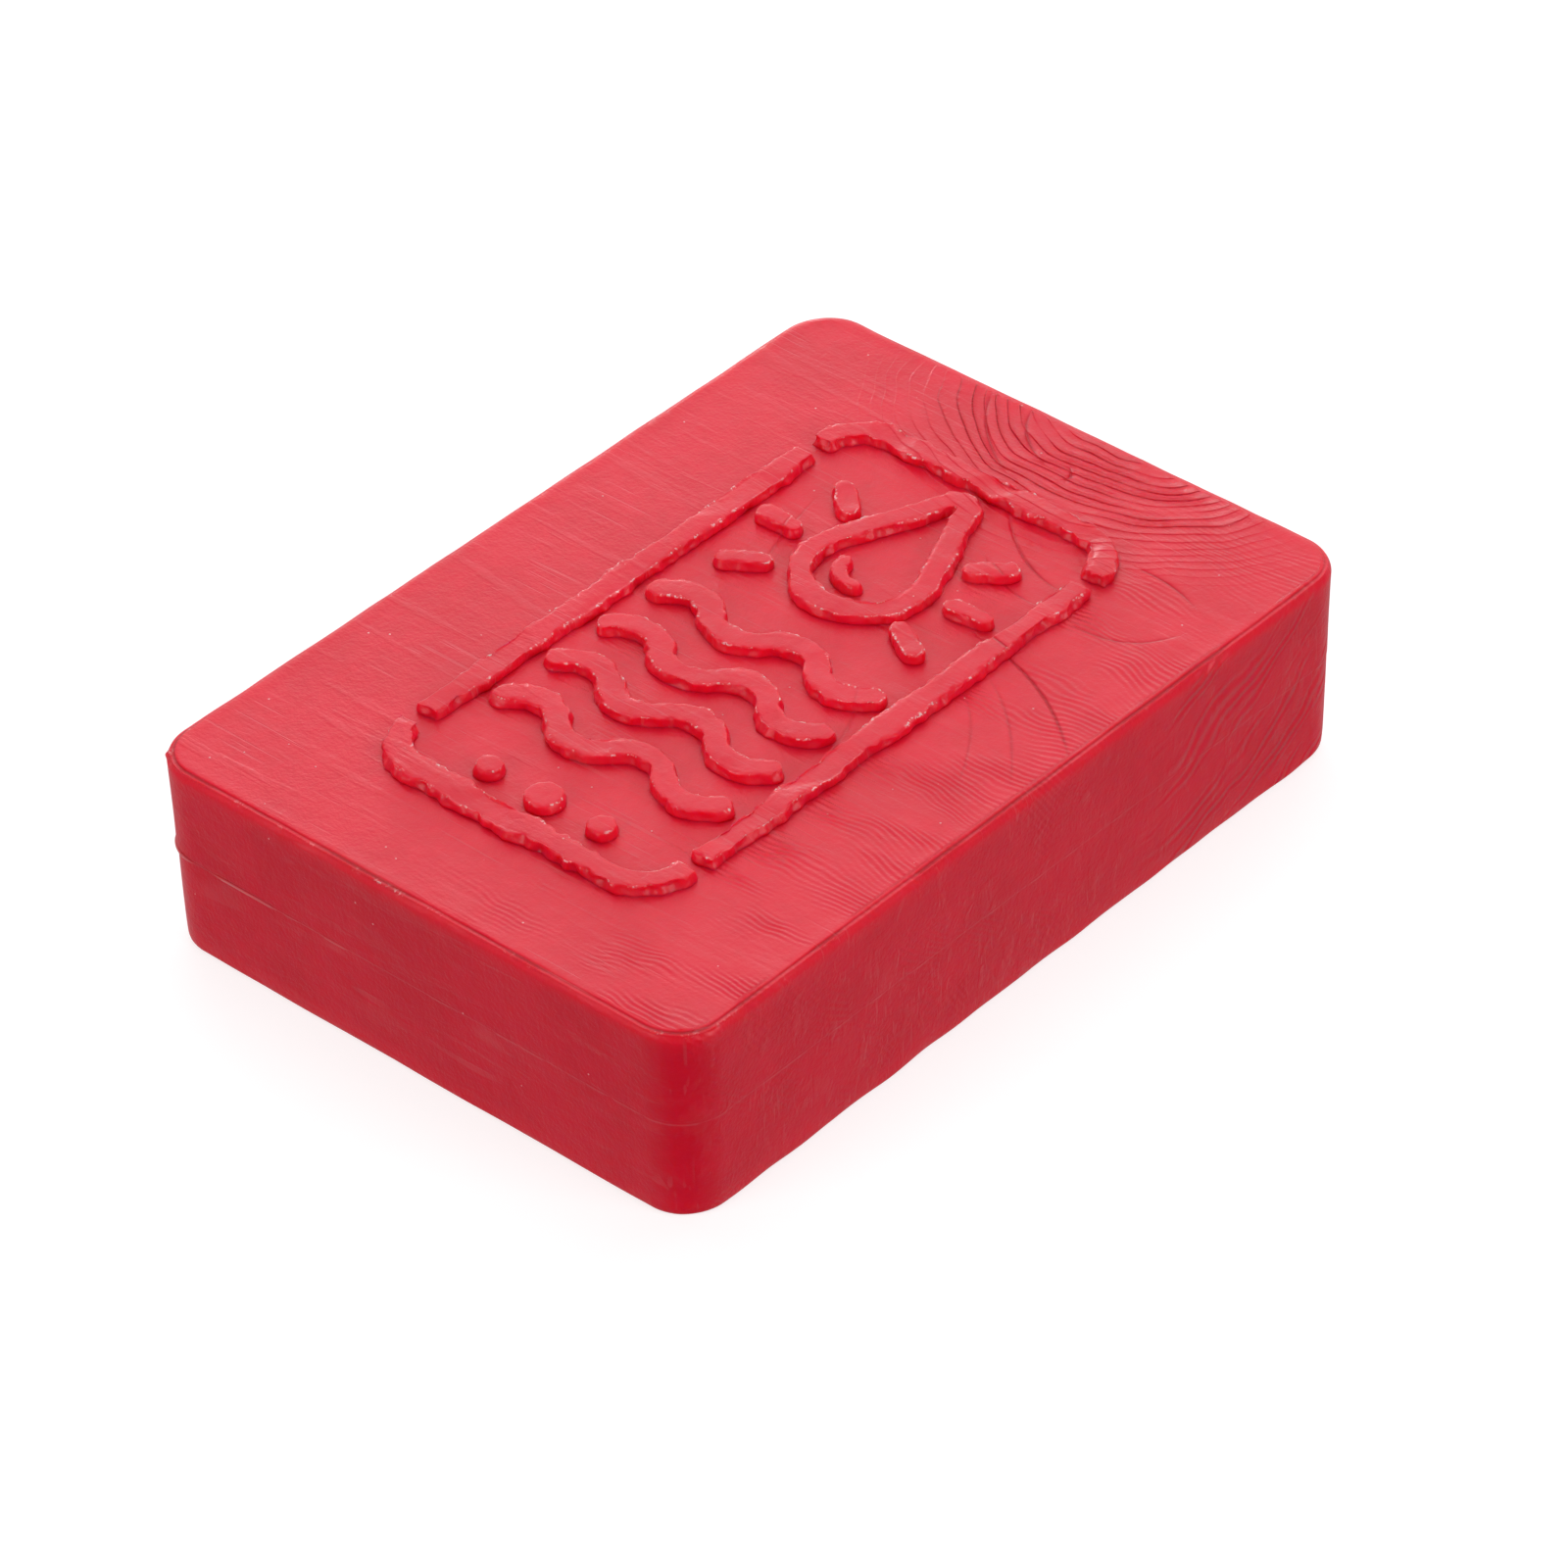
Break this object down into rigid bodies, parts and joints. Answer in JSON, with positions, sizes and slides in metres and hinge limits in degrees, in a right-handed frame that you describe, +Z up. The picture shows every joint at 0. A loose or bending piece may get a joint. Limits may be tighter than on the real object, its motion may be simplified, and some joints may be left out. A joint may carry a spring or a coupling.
{
  "type": "clay bar",
  "caption": "Rounded rectangular bar of detailing clay with a raised emblem, rubbed on wet car paint to lift bonded dirt.",
  "frame": {"origin": "middle of the foot, on the surface that the bar lies on", "axes": "+Z up out of the face with the emblem, +Y along the bar towards the emblem's drop, +X across the bar"},
  "size_m": [0.053, 0.075, 0.0179],
  "materials": {
    "clay_block": "satin, slightly translucent moulded clay",
    "clay_relief": "satin, slightly translucent moulded clay"
  },
  "bodies": {
    "root": {"bubble_left": "clay_relief", "bubble_middle": "clay_relief", "bubble_right": "clay_relief", "drop_left": "clay_relief", "drop_right": "clay_relief", "far_left_corner": "clay_relief", "far_rail": "clay_relief", "far_right_corner": "clay_relief", "highlight": "clay_relief", "left_rail": "clay_relief", "lower_slab": "clay_block", "near_left_corner": "clay_relief", "near_rail": "clay_relief", "near_right_corner": "clay_relief", "right_rail": "clay_relief", "shine_left_high": "clay_relief", "shine_left_low": "clay_relief", "shine_left_mid": "clay_relief", "shine_right_high": "clay_relief", "shine_right_low": "clay_relief", "shine_right_mid": "clay_relief", "upper_slab": "clay_block", "wave_1": "clay_relief", "wave_2": "clay_relief", "wave_3": "clay_relief", "wave_4": "clay_relief"}
  },
  "joints": []
}
